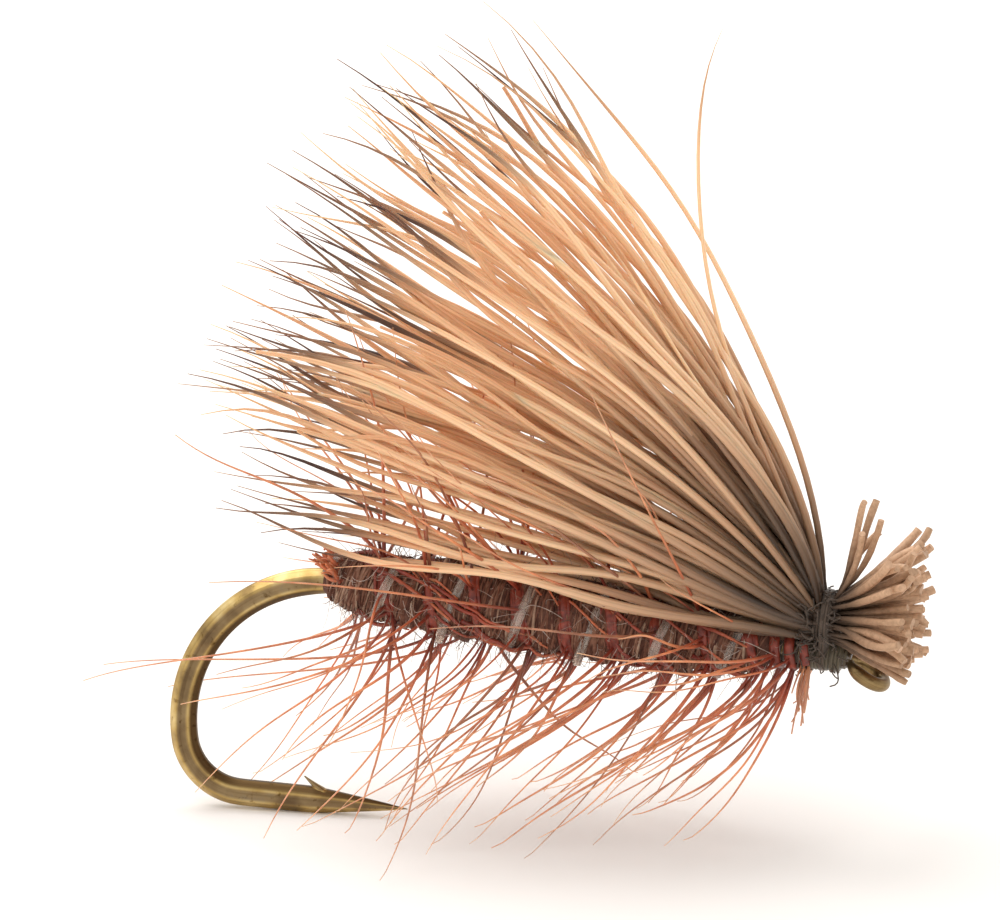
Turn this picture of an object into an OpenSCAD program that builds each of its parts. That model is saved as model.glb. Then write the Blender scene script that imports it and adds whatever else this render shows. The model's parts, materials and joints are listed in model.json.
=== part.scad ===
// Hair-winged dry fly with a palmered hackle, tied on a forged hook with a down-turned eye.
// +X points along the fly to the hook eye and +Z is up as the fly stands on a flat surface.
// The origin lies on that surface, under the middle of the fly. All sizes are millimetres.

/* [Hook] */
// Diameter of the round shank wire
wire_d = 0.5; // [0.44:0.02:0.56]
// Height of the forged wire in the plane of the bend
forged_h = 0.66; // [0.56:0.02:0.7]
// Width of the forged wire between its two flats
forged_w = 0.44; // [0.36:0.02:0.5]
// Straight shank, from the start of the bend to the root of the eye
shank_len = 12.2; // [12.1:0.05:12.6]
// Centreline radius of the main bend
bend_r = 3.73; // [3.5:0.01:3.9]
// Centreline radius of the heel, where the bend runs into the point
heel_r = 1.45; // [1.2:0.05:1.6]
// Angle turned by the main bend
bend_turn = 102; // [98:1:106]
// Angle turned by the heel
heel_turn = 81; // [78:1:83]
// Straight wire between the heel and the barb
limb_len = 1.75; // [1.5:0.05:2]
// Tapered length from the barb to the point
point_len = 2.4; // [2:0.1:2.8]
// Length of the barb sliced up from the wire
barb_len = 0.6; // [0.4:0.05:0.8]
// Angle of the barb above the wire
barb_rise = 32; // [24:1:40]
// Diameter of the wire in the eye
eye_wire_d = 0.34; // [0.3:0.02:0.38]
// Diameter of the hole through the eye
eye_bore_d = 0.62; // [0.58:0.02:0.7]
// Angle of the eye below the shank
eye_drop = 28; // [20:1:35]
// Nose-down angle of the shank as the fly stands
shank_tilt = 5.1; // [4:0.1:6]

/* [Body] */
// Thickness of the thread layer wound on the shank
thread_layer = 0.08; // [0.06:0.01:0.1]
// Radius of the dubbed body at its two ends
body_end_r = 0.52; // [0.5:0.01:0.56]
// Radius of the dubbed body at its middle
body_mid_r = 0.95; // [0.85:0.01:1]
// Length of the dubbed body
body_len = 11; // [10:0.1:11]
// Turns of dubbed thread along the body
dubbing_turns = 16; // [12:1:20]
// Turns of the clear rib, wound against the hackle
rib_turns = 6; // [5:1:8]
// Width of the rib strip
rib_w = 0.3; // [0.2:0.02:0.4]
// Thickness of the rib strip
rib_t = 0.06; // [0.04:0.01:0.1]

/* [Hackle] */
// Turns of hackle along the body
hackle_turns = 9; // [7:1:10]
// Barbs on each turn along the body
barbs_per_turn = 15; // [10:1:18]
// Barbs on each turn of the front collar
barbs_per_collar_turn = 17; // [12:1:20]
// Longest barb
barb_max = 6.9; // [6:0.1:7]
// Shortest barb
barb_min = 5.2; // [4.5:0.1:5.5]
// Diameter of a barb at the stem
hackle_barb_d = 0.07; // [0.05:0.01:0.08]
// Diameter of the feather stem
stem_d = 0.14; // [0.1:0.01:0.16]

/* [Wing] */
// Rows of hair from the lowest to the most upright
wing_rows = 8; // [6:1:10]
// Hairs across each row
wing_columns = 9; // [7:1:11]
// Length of the lowest hairs
wing_low_len = 14.8; // [14:0.1:15.5]
// Length of the longest hairs, in the upper rows
wing_high_len = 16.3; // [15:0.1:16.5]
// Angle of the lowest row above the level, pointing back
wing_low_angle = 13.5; // [12:0.5:16]
// Angle of the highest row above the level, pointing back
wing_high_angle = 63; // [58:1:66]
// Diameter of a hair at its thickest
hair_d = 0.2; // [0.16:0.01:0.24]

/* [Head] */
// Radius of the bundle where the thread grips the hair
bundle_r = 0.58; // [0.55:0.01:0.62]
// Rows of cut hair butts
butt_rows = 6; // [5:1:7]
// Butts across each row
butt_columns = 8; // [6:1:9]
// Distance from the thread forward to the flat cut through the butts
butt_cut = 2.1; // [1.8:0.1:2.4]
// Longest butt, at the rim of the brush
butt_len = 2.6; // [2.2:0.1:2.7]
// Diameter of a cut butt at its end
butt_d = 0.24; // [0.2:0.01:0.26]
// Wraps of thread around the wing
wing_wraps = 5; // [4:1:6]
// Wraps in the finishing knot
knot_wraps = 2; // [1:1:2]

/* [Hidden] */
$fn = 32;

fly_middle = 4.22;             // from the start of the bend forward to the middle of the fly
floor_gap = 0.02;              // height of a barb tip that lies on the surface
fit_gap = 0.02;                // between strands and the solids that they leave
sleeve_r = wire_d / 2 + thread_layer;
limb_turn = bend_turn + heel_turn;
heel_drop = bend_r - heel_r;
heel_centre = [-heel_drop * sin(bend_turn), 0, -bend_r + heel_drop * cos(bend_turn)];
limb_start = heel_centre + heel_r * [sin(-limb_turn), 0, cos(limb_turn)];
limb_rise = limb_turn - 180;
limb_end = limb_start + limb_len * [cos(limb_rise), 0, sin(limb_rise)];
heel_slim = 0.98;              // the wire's section here against the main bend's
limb_slim = 0.96;

eye_pitch_r = eye_bore_d / 2 + eye_wire_d * 0.45;   // the hole's wall is slightly flat
eye_outer_r = eye_pitch_r + eye_wire_d / 2;
eye_reach = eye_outer_r + 0.03;
eye_centre = [shank_len + eye_reach * cos(eye_drop), 0, -eye_reach * sin(eye_drop)];
leader_gap = 0.3;              // kept clear of hair and barbs, from the eye's axis

body_start = -0.5;             // the body begins a little way round the bend
body_rings = dubbing_turns * 6;
ridge_h = 0.05;                // height of each turn of dubbing
rib_start = body_start + 0.3;
hackle_start = 0.3;
wing_thread_start = 11.42;
wing_thread_end = 11.98;
bundle_z = sleeve_r + bundle_r + 0.01;
wrap_t = 0.12;
waist_r = 0.038;               // radius of one hair where the thread grips it
collar_start = 10.62;
collar_pitch = 0.36;
hackle_pitch = (collar_start - 2 * hackle_start) / hackle_turns;
helix_steps = 14;              // rings in one turn of a helix
low_gap = 16;                  // half angle kept clear of barbs above the hook point
knot_d = 0.1;
knot_start = wing_thread_end + fit_gap;
knot_len = knot_wraps * knot_d * 0.9;

// Height of the shank's rear end that puts the lowest wire, before the point, on the surface
shank_z = forged_h / 2 * limb_slim - tilted(limb_end).z;

// A point or direction of the shank's own frame, turned to the standing angle
function tilted(p) = [
    p.x * cos(shank_tilt) + p.z * sin(shank_tilt),
    p.y,
    -p.x * sin(shank_tilt) + p.z * cos(shank_tilt)
];

// A point of the shank's own frame, as the fly stands
function placed(p) = tilted(p) + [-fly_middle, 0, shank_z];

function unit(v) = v / norm(v);

// Radius of the dubbed body, without its ridges, at x along the shank
function body_r(x) =
    let (u = min(1, max(0, (x - body_start) / body_len)))
    body_end_r + (body_mid_r - body_end_r) * pow(sin(180 * u), 0.6);

module on_shank() {
    translate([-fly_middle, 0, shank_z]) rotate([0, shank_tilt, 0]) children();
}

module along_shank(x) {
    translate([x, 0, 0]) rotate([0, 90, 0]) children();
}

// Least distance from the line along which a leader passes through the eye
function from_leader(from, to) =
    let (
        centre = placed(eye_centre),
        axis = tilted([sin(eye_drop), 0, cos(eye_drop)]),
        steps = 48
    )
    min([for (i = [0:steps]) norm(cross(from + (to - from) * i / steps - centre, axis))]);

// A straight tapered strand, thickest at the fraction mid of its length. One that would cross
// the leader's way through the eye is left out, as a tier trims it.
module strand(from, to, r_from, r_mid, r_to, mid) {
    d = to - from;
    len = norm(d);
    if (from_leader(from, to) > leader_gap)
        translate(from) rotate([0, acos(d.z / len), atan2(d.y, d.x)])
            rotate_extrude($fn = 16)
                polygon([[0, 0], [r_from, 0], [r_mid, mid * len], [r_to, len], [0, len]]);
}

// A flat or round strip wound around the shank, as a closed tube of eight-sided sections.
// path_r gives the winding's radius as a list over its rings. A winding of hand 1 climbs towards
// the eye as it comes up the -Y side, and one of hand -1 as it goes down that side.
module winding(x0, pitch, turns, hand, path_r, w, t) {
    rings = round(turns * helix_steps);
    sides = 8;
    points = [
        for (i = [0:rings])
            let (a = 360 * i / helix_steps, x = x0 + pitch * i / helix_steps)
            for (k = [0:sides - 1])
                let (b = 360 * (k + 0.5) / sides, r = path_r[i] + t / 2 * cos(b))
                [x + w / 2 * sin(b), hand * r * sin(a), r * cos(a)]
    ];
    // The winding's sense of turn sets which way round its faces are listed
    function turned(f) = hand > 0 ? f : [for (i = [len(f) - 1:-1:0]) f[i]];
    walls = [
        for (i = [0:rings - 1])
            for (k = [0:sides - 1])
                let (n = (k + 1) % sides, a = i * sides, b = a + sides)
                each [turned([a + k, a + n, b + n]), turned([a + k, b + n, b + k])]
    ];
    first = turned([for (k = [sides - 1:-1:0]) k]);
    last = turned([for (k = [0:sides - 1]) rings * sides + k]);
    polyhedron(points, concat(walls, [first, last]), convexity = 10);
}

// Outline around two stacked circles, joined by their common tangents
module stacked_outline(low_r, high_r, rise) {
    b = asin((high_r - low_r) / rise);
    right = [[low_r * cos(b), -low_r * sin(b)], [high_r * cos(b), rise - high_r * sin(b)]];
    circle(r = low_r);
    translate([0, rise]) circle(r = high_r);
    polygon([right[0], right[1], [-right[1].x, right[1].y], [-right[0].x, right[0].y]]);
}

// ---- Hook ----

module forged_section(slimmed = 1) {
    intersection() {
        circle(d = forged_h * slimmed);
        square([forged_h, forged_w] * slimmed, center = true);
    }
}

// An arc of forged wire in the plane of the hook; angles count from +X towards +Z
module forged_arc(radius, from, turn, slimmed = 1) {
    rotate([90, 0, 0]) rotate([0, 0, from])
        rotate_extrude(angle = turn, $fn = 64)
            translate([radius, 0]) forged_section(slimmed);
}

// The limb starts just inside the heel, and its wire is a little slimmer than the heel's
module hook_point() {
    lap = 0.05;
    point_h = forged_h * limb_slim;
    translate(limb_start) rotate([0, 90 - limb_rise, 0]) {
        translate([0, 0, -lap]) linear_extrude(limb_len + lap) forged_section(limb_slim);
        intersection() {
            translate([0, 0, limb_len]) cylinder(h = point_len, r1 = point_h / 2, r2 = 0.01);
            translate([0, 0, limb_len + point_len / 2])
                cube([point_h, forged_w * limb_slim, point_len], center = true);
        }
        translate([-point_h * 0.4, 0, limb_len + 0.15]) rotate([0, barb_rise - 180, 0])
            cylinder(h = barb_len, r1 = 0.09, r2 = 0.01, $fn = 16);
    }
}

module shank() {
    along_shank(0) cylinder(h = shank_len, d = wire_d);
}

// The wire's front end, bent down and closed into a ring. It meets the shank face to face.
module hook_eye() {
    neck_len = eye_reach - eye_pitch_r;
    color("#a8934f") on_shank() {
        difference() {
            translate([shank_len, 0, 0]) rotate([0, 90 + eye_drop, 0])
                translate([0, 0, -wire_d / 2])
                cylinder(h = neck_len + wire_d / 2, r1 = wire_d * 0.46, r2 = eye_wire_d * 0.4);
            translate([shank_len - wire_d, 0, 0]) cube(wire_d * 2, center = true);
        }
        translate(eye_centre) rotate([0, eye_drop, 0]) rotate_extrude($fn = 64) intersection() {
            translate([eye_pitch_r, 0]) circle(d = eye_wire_d);
            translate([eye_bore_d / 2, -eye_wire_d]) square(eye_wire_d * 2);
        }
    }
}

// The rest of the hook's wire: shank, bend, heel, point and barb
module hook() {
    color("#a8934f") on_shank() {
        shank();
        translate([0, 0, -bend_r]) forged_arc(bend_r, 90, bend_turn);
        translate(heel_centre) forged_arc(heel_r, 89 + bend_turn, heel_turn + 1, heel_slim);
        hook_point();
    }
}

// ---- Body ----

module thread_base() {
    color("#4a4038") on_shank() along_shank(0) difference() {
        cylinder(h = wing_thread_end, r = sleeve_r);
        translate([0, 0, -1]) cylinder(h = wing_thread_end + 2, d = wire_d);
    }
}

// A fur-dubbed thread wound into close ridges
module dubbed_body() {
    outline = [
        for (i = [0:body_rings])
            let (x = body_len * i / body_rings)
            [body_r(body_start + x) + ridge_h * abs(sin(180 * dubbing_turns * i / body_rings)), x]
    ];
    color("#77685a") on_shank() difference() {
        along_shank(body_start) rotate_extrude() polygon(concat([[0, 0]], outline, [[0, body_len]]));
        along_shank(-1) cylinder(h = body_len + 3, r = sleeve_r);
        along_shank(-1) cylinder(h = 1, r = forged_h / 2 + 0.1);
    }
}

module rib_strip() {
    pitch = (body_len - 0.8) / rib_turns;
    lift = ridge_h + stem_d + fit_gap + rib_t / 2;
    radii = [
        for (i = [0:rib_turns * helix_steps]) body_r(rib_start + pitch * i / helix_steps) + lift
    ];
    color("#c9bdb2") on_shank() winding(rib_start, pitch, rib_turns, 1, radii, rib_w, rib_t);
}

// The stem starts under the shank and is wound the other way from the rib
module hackle_stem() {
    radii = [
        for (i = [0:hackle_turns * helix_steps])
            max(body_r(hackle_start + hackle_pitch * i / helix_steps), sleeve_r) + ridge_h + stem_d / 2
    ];
    color("#6e2f1c") on_shank() rotate([180, 0, 0])
        winding(hackle_start, hackle_pitch, hackle_turns, -1, radii, stem_d, stem_d);
}

// The feather's tip, caught under the first turns of rib
module hackle_tip() {
    spread = [-24, -8, 8, 24];
    color("#b0583a") for (i = [0:len(spread) - 1])
        let (
            from = placed([body_start + 0.1, 0.14 * (i - 1.5), body_r(body_start + 0.1) + 0.12]),
            dir = tilted(unit([-0.9, sin(spread[i]), 0.6 - 0.1 * i]))
        )
        strand(from, from + (0.7 + 0.1 * i) * dir, 0.05, 0.05, 0.015, 0.4);
}

// ---- Hackle ----

// Tip of a barb; one that would pass through the surface is bent back to lie on it
function barb_tip(from, dir, len) =
    let (
        free_tip = from + len * dir,
        dz = (floor_gap - from.z) / len,
        level = unit([dir.x, dir.y, 0]) * sqrt(max(0, 1 - dz * dz))
    )
    free_tip.z >= floor_gap ? free_tip : from + len * [level.x, level.y, dz];

// One turn of barbs, fanned around the shank from x0 on; angles count from +Y towards +Z.
// The sector under the wing, open_top degrees each side of the top, stays free.
module barb_turn(x0, pitch, count, open_top, base_r, seed) {
    lengths = rands(barb_min, barb_max, count, seed);
    leans = rands(0.75, 1.25, count, seed + 50);
    sector = 360 - 2 * open_top - 2 * low_gap;
    half = sector / 2;
    for (k = [0:count - 1])
        let (
            s = sector * (k + 0.5) / count,
            a = s < half ? -90 + low_gap + s : -90 + low_gap + s + 2 * open_top,
            x = x0 + pitch * (a + 90) / 360,
            lean = leans[k] * (0.28 + 0.24 * (1 - sin(a)) / 2),
            radial = [0, cos(a), sin(a)],
            from = placed([x, 0, 0] + (base_r + stem_d + ridge_h) * radial),
            to = barb_tip(from, tilted(unit(radial - [lean, 0, 0])), lengths[k])
        )
        strand(from, to, hackle_barb_d / 2, hackle_barb_d / 2, 0.012, 0.3);
}

module hackle_barbs(i) {
    x0 = hackle_start + hackle_pitch * (i - 1);
    open_top = i < 4 ? 14 : 30 + 4 * (i - 4);
    color("#b4602f") barb_turn(x0, hackle_pitch, barbs_per_turn, open_top, body_r(x0), 10 + i);
}

module collar_barbs(i) {
    x0 = collar_start + collar_pitch * (i - 1);
    color("#a04a28") barb_turn(x0, collar_pitch, barbs_per_collar_turn, 62, sleeve_r, 30 + i);
}

// Long barbs that lie back along the body, past the bend
module swept_barbs() {
    starts = [2.4, 3.1, 4.6, 6.2];
    sides = [-70, -110, 200, -20];
    back = [0.98, 0.94, 0.96, 0.95];
    color("#b4602f") for (k = [0:len(starts) - 1])
        let (
            radial = [0, cos(sides[k]), sin(sides[k])],
            out = sqrt(1 - back[k] * back[k]),
            from = placed([starts[k], 0, 0] + (body_r(starts[k]) + stem_d + ridge_h) * radial)
        )
        strand(from, from + 8.2 * tilted(out * radial - [back[k], 0, 0]), 0.035, 0.035, 0.012, 0.3);
}

// Barbs cut short under the head
module clipped_barbs() {
    count = 5;
    lengths = rands(0.8, 1.7, count, 41);
    color("#b87a5a") for (k = [0:count - 1])
        let (
            a = -90 + 17 * (k - (count - 1) / 2),
            radial = [0, cos(a), sin(a)],
            from = placed([wing_thread_start - 0.06, 0, 0] + (sleeve_r + 0.03) * radial)
        )
        strand(from, from + lengths[k] * tilted(unit(radial + [0.05, 0, 0])), 0.05, 0.05, 0.03, 0.5);
}

// ---- Wing and head ----

// Point in the gripped bundle: row and column run from -1 to 1, at x along the shank
function bundle_point(row, column, x) =
    let (reach = bundle_r - 0.09)
    [x, column * reach * sqrt(1 - row * row / 2), bundle_z + row * reach * 0.95];

// Where a straight wing hair ends: angle above the level, length, and column from -1 to 1.
// The outer columns spread and droop to either side, like a low tent over the body.
function wing_tip(from, angle, len, column, height) =
    let (
        spread = 0.3 - 0.14 * height,
        droop = 0.12 * column * column
    )
    from + len * unit([-cos(angle), spread * column, sin(angle) - droop]);

module wing_hairs(i) {
    height = (i - 1) / (wing_rows - 1);
    trim = rands(0.84, 1, wing_columns, 60 + i);
    full = wing_low_len + (wing_high_len - wing_low_len) * sin(180 * min(1, height * 1.1));
    angle = wing_low_angle + (wing_high_angle - wing_low_angle) * height;
    color("#c49a74") for (k = [0:wing_columns - 1])
        let (
            column = wing_columns > 1 ? -1 + 2 * k / (wing_columns - 1) : 0,
            stagger = (k % 2 - 0.5) * 2.4,
            from = placed(bundle_point(height * 2 - 1, column, wing_thread_start - fit_gap))
        )
        strand(
            from, wing_tip(from, angle + stagger, full * trim[k], column, height),
            waist_r, hair_d / 2, 0.015, 0.5
        );
}

// Stray upright hairs in front of the wing
module loose_wing_hairs() {
    angles = [66, 70, 75, 81];
    lengths = [15.1, 12.5, 10.5, 14.3];
    color("#b98c62") for (k = [0:len(angles) - 1])
        let (
            column = -0.6 + 0.4 * k,
            from = placed(bundle_point(1, column, wing_thread_start - fit_gap) + [0, 0, 0.06])
        )
        strand(from, wing_tip(from, angles[k], lengths[k], column, 1), waist_r, 0.07, 0.015, 0.4);
}

// The waists of all the hairs, crushed into one bundle by the thread
module hair_waist() {
    color("#8a6d55") on_shank() translate([wing_thread_start, 0, bundle_z]) rotate([0, 90, 0])
        cylinder(h = wing_thread_end - wing_thread_start, r = bundle_r);
}

// The front half of each hair, cut off square after it flares
module butt_hairs(i) {
    height = 2 * (i - 1) / (butt_rows - 1) - 1;
    trim = rands(0.86, 1, butt_columns, 80 + i);
    color("#c3987b") for (k = [0:butt_columns - 1])
        let (
            column = -1 + 2 * k / (butt_columns - 1),
            from = placed(bundle_point(height, column, wing_thread_end + fit_gap)),
            dir = unit([cos(46 * height) * cos(48 * column), sin(48 * column), sin(46 * height) + 0.02]),
            len = min(butt_len, butt_cut / dir.x) * trim[k]
        )
        strand(
            from, from + len * dir,
            waist_r, waist_r + (butt_d / 2 - waist_r) * 0.6, butt_d / 2, 0.5
        );
}

// A few butts that stand up in front of the wing
module butt_tuft() {
    lengths = [2.9, 2.6, 2.3, 2.7];
    color("#c99d7f") for (k = [0:len(lengths) - 1])
        let (
            from = placed([wing_thread_end + fit_gap, 0.18 * (k - 1.5), bundle_z + bundle_r - 0.04]),
            dir = unit([0.42 + 0.1 * (k % 2), 0.1 * (k - 1.5), 1])
        )
        strand(from, from + lengths[k] * dir, waist_r, 0.08, 0.1, 0.5);
}

// Thread wraps that bind the hair to the shank
module wing_thread() {
    wrap_w = (wing_thread_end - wing_thread_start) / wing_wraps;
    low_r = sleeve_r + fit_gap / 2;
    high_r = bundle_r + fit_gap / 2;
    color("#4d4238") on_shank() difference() {
        for (i = [0:wing_wraps - 1])
            translate([wing_thread_start + i * wrap_w, 0, 0]) rotate([90, 0, 90])
                linear_extrude(wrap_w)
                    let (t = i % 2 == 0 ? wrap_t : wrap_t * 0.7)
                    stacked_outline(low_r + t, high_r + t, bundle_z);
        translate([wing_thread_start - 1, 0, 0]) rotate([90, 0, 90])
            linear_extrude(wing_thread_end - wing_thread_start + 2)
                stacked_outline(low_r, high_r, bundle_z);
    }
}

module whip_finish() {
    color("#5a4c40") on_shank() along_shank(knot_start) rotate_extrude() {
        for (i = [0:knot_wraps - 1])
            translate([wire_d / 2 + knot_d / 2, (i + 0.5) * knot_d * 0.9]) circle(d = knot_d, $fn = 16);
        translate([wire_d / 2, 0.02]) square([knot_d / 2, knot_len - 0.04]);
    }
}

// Varnish over the finishing knot
module head_cement() {
    color("#6b5a45", 0.6) on_shank() along_shank(knot_start) difference() {
        cylinder(h = knot_len, r = wire_d / 2 + knot_d + 0.05);
        translate([0, 0, -1]) cylinder(h = knot_len + 2, r = wire_d / 2 + knot_d + 0.01);
    }
}

hook();
hook_eye();
thread_base();
dubbed_body();
rib_strip();
hackle_stem();
hackle_tip();
for (i = [1:hackle_turns]) hackle_barbs(i);
for (i = [1:2]) collar_barbs(i);
swept_barbs();
clipped_barbs();
hair_waist();
for (i = [1:wing_rows]) wing_hairs(i);
loose_wing_hairs();
for (i = [1:butt_rows]) butt_hairs(i);
butt_tuft();
wing_thread();
whip_finish();
head_cement();
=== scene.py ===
"""A dry fly with a swept hair wing and a palmered hackle, built around its CAD frame.

Points are in millimetres until a mesh is made. Most of them start in the shank's own frame, with +X from
the start of the bend to the eye, and on_fly() turns them nose-down and puts them in the frame's place.
"""

import json
import math

import bpy
import numpy as np
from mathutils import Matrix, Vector


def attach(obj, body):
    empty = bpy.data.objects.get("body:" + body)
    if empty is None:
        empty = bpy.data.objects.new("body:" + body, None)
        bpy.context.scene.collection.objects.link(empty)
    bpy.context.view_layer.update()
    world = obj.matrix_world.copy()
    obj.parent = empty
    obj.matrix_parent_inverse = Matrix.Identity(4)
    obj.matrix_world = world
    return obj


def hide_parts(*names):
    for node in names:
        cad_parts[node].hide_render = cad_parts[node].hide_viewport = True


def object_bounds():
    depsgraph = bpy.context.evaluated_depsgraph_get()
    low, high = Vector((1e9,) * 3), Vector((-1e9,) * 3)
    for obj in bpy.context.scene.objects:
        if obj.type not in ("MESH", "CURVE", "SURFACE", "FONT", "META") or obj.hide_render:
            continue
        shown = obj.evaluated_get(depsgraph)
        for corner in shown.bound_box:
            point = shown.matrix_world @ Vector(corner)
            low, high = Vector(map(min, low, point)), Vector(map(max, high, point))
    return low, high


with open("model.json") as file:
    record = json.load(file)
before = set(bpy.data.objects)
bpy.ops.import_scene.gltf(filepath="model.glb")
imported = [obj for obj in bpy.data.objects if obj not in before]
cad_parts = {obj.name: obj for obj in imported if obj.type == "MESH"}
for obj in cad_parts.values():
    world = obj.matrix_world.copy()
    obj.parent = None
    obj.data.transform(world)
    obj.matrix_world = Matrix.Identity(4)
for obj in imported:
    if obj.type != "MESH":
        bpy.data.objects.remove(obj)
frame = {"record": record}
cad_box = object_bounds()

MM = 0.001
TURN = 2 * math.pi

# ---- Sizes, as in the CAD model ----

WIRE_R = 0.25
FORGED_H = 0.66
FORGED_W = 0.44
SHANK_LEN = 12.2
BEND_R = 3.73
HEEL_R = 1.45
BEND_TURN = math.radians(102)
HEEL_TURN = math.radians(81)
LIMB_LEN = 1.75
POINT_LEN = 2.4
BARB_LEN = 0.6
EYE_WIRE_R = 0.17
EYE_BORE_R = 0.31
EYE_DROP = math.radians(28)

SLEEVE_R = WIRE_R + 0.08
BODY_START = -0.5
BODY_LEN = 11.0
BODY_END_R = 0.52
BODY_MID_R = 0.95
DUBBING_TURNS = 16
RIB_TURNS = 6
RIB_W = 0.22
RIB_T = 0.06
HACKLE_START = 0.3
HACKLE_TURNS = 9
COLLAR_START = 10.62
COLLAR_PITCH = 0.36
COLLAR_TURNS = 2
HACKLE_PITCH = (COLLAR_START - 2 * HACKLE_START) / HACKLE_TURNS
STEM_R = 0.07
BARB_R = 0.043
BARB_MIN = 5.2
BARB_MAX = 7.2
FLOOR_GAP = 0.06

WING_ROWS = 8
HAIR_R = 0.114
WAIST_R = 0.05
BUNDLE_R = 0.58
BUNDLE_Z = SLEEVE_R + BUNDLE_R + 0.01
THREAD_START = 11.42
THREAD_END = 11.98
GRIP_START = 11.56
GRIP_END = 11.84
BUTT_ROWS = 6
BUTT_R = 0.106
BUTT_CUT = 2.1

# ---- Details of the visual model ----

FORGED_BEVEL = 0.268
HOOK_CREASE = 60
NECK_LEN = 0.35
BODY_END = BODY_START + BODY_LEN
BODY_SHOULDER = 10.2
STEM_LEAVES_FUR = 10.3
THREAD_R = 0.045
VARNISH_END = SHANK_LEN + 0.2
HAIR_NORMAL = [0.1, 1, 0.1]

# ---- Camera, lamp and floor, in metres ----

CAMERA_AZIMUTH = math.radians(12.6)
CAMERA_ELEVATION = math.radians(15)
CAMERA_DISTANCE = 0.22
CAMERA_SHIFT = Vector((-0.00039, 0, -0.00108))
CAMERA_LENS = 332.6
CAMERA_SENSOR = 36
LAMP_PLACE = Vector((-0.12, 0.04, 0.27))
LAMP_AIM = Vector((0, 0, 0.008))
LAMP_SIZE = 0.28
LAMP_POWER = 0.64
SKY_COLOUR = (1.0, 0.985, 0.96, 1)
FLOOR_REACH = 3.0
FLOOR_COLOUR = (0.87, 0.845, 0.82, 1)

# ---- The shank's place, from the record's eye mount ----

EYE_MOUNT = next(m for m in frame["record"]["mounts"] if m["name"] == "tippet_eye")
EYE_CENTRE = np.array(EYE_MOUNT["pos_m"]) / MM
TILT = math.atan2(EYE_MOUNT["axis"][0], EYE_MOUNT["axis"][2]) - EYE_DROP
EYE_PITCH_R = EYE_BORE_R + 0.9 * EYE_WIRE_R
EYE_REACH = EYE_PITCH_R + EYE_WIRE_R + 0.03
TILTED = np.array([
    [math.cos(TILT), 0, math.sin(TILT)],
    [0, 1, 0],
    [-math.sin(TILT), 0, math.cos(TILT)],
])
EYE_ON_SHANK = np.array([SHANK_LEN + EYE_REACH * math.cos(EYE_DROP), 0, -EYE_REACH * math.sin(EYE_DROP)])
SHANK_ROOT = EYE_CENTRE - TILTED @ EYE_ON_SHANK


def turned(directions):
    """Directions of the shank's frame, as the fly stands."""
    return np.asarray(directions, float) @ TILTED.T


def on_fly(points):
    """Points of the shank's frame, as the fly stands."""
    return turned(points) + SHANK_ROOT


def on_shank(points):
    """The same points back in the shank's frame."""
    return (points - SHANK_ROOT) @ TILTED


# ---- Small geometry helpers ----

def unit(vectors):
    return vectors / np.linalg.norm(vectors, axis=-1, keepdims=True)


def smooth(low, high, value):
    """0 below low, 1 above high, and an even S-curve between."""
    t = np.clip((value - low) / (high - low), 0, 1)
    return t * t * (3 - 2 * t)


def stacked(*columns):
    """Numbers or arrays joined as the coordinates of points."""
    return np.stack(np.broadcast_arrays(*columns), axis=-1).astype(float)


def steps(rings):
    """How far each ring of a strand is along it, from 0 to 1."""
    return np.linspace(0, 1, rings)[None, :]


def around(x, radius, angle):
    """A point about the shank; the angle counts from the top and grows towards +Y."""
    return stacked(x, radius * np.sin(angle), radius * np.cos(angle))


def outward(angle):
    """Direction away from the shank at an angle, in the shank's frame."""
    return stacked(0, np.sin(angle), np.cos(angle))


def radial(angle):
    """The same direction as the fly stands."""
    return turned(outward(angle))


def bezier(p0, p1, p2, p3, rings):
    """Points along cubic curves, as strands x rings x 3."""
    t = np.linspace(0, 1, rings)[None, :, None]
    a, b, c, d = (np.asarray(p, float)[:, None, :] for p in (p0, p1, p2, p3))
    return a * (1 - t) ** 3 + 3 * b * t * (1 - t) ** 2 + 3 * c * t * t * (1 - t) + d * t ** 3


def above_floor(points, clearance=0.05, soft=0.3):
    """Bends what would pass through the floor so that it comes to lie on it."""
    z = points[..., 2]
    low = z < soft
    eased = clearance + (soft - clearance) * np.exp(np.minimum(z - soft, 0) / (soft - clearance))
    bent = points.copy()
    bent[..., 2] = np.where(low, eased, z)
    return bent


def wandering(points, amount, waves, rng):
    """Adds a slight, growing waver to strands, as hair and barbs have."""
    strands, rings = points.shape[:2]
    t = np.linspace(0, 1, rings)[None, :, None]
    phase = rng.uniform(0, TURN, (strands, 1, 3))
    rate = rng.uniform(0.6, 1.4, (strands, 1, 3)) * waves
    size = rng.uniform(0.2, 1, (strands, 1, 3)) * amount
    return points + size * t * np.sin(TURN * rate * t + phase)


def grid_quads(index):
    """The faces between rows of points that close round; index is ... x rings x sides."""
    here, ahead = index[..., :-1, :], index[..., 1:, :]
    quads = np.stack([here, np.roll(here, -1, -1), np.roll(ahead, -1, -1), ahead], axis=-1)
    return quads.reshape(-1, 4)


def grid_uvs(v, sides):
    """The UV corners of the same faces: u goes round from 0 to 1, and v is given for each ring."""
    u = np.arange(sides + 1) / sides
    corners = [(u[:-1], v[:-1]), (u[1:], v[:-1]), (u[1:], v[1:]), (u[:-1], v[1:])]
    return np.stack([stacked(a[None, :], b[:, None]) for a, b in corners], axis=2)


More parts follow.
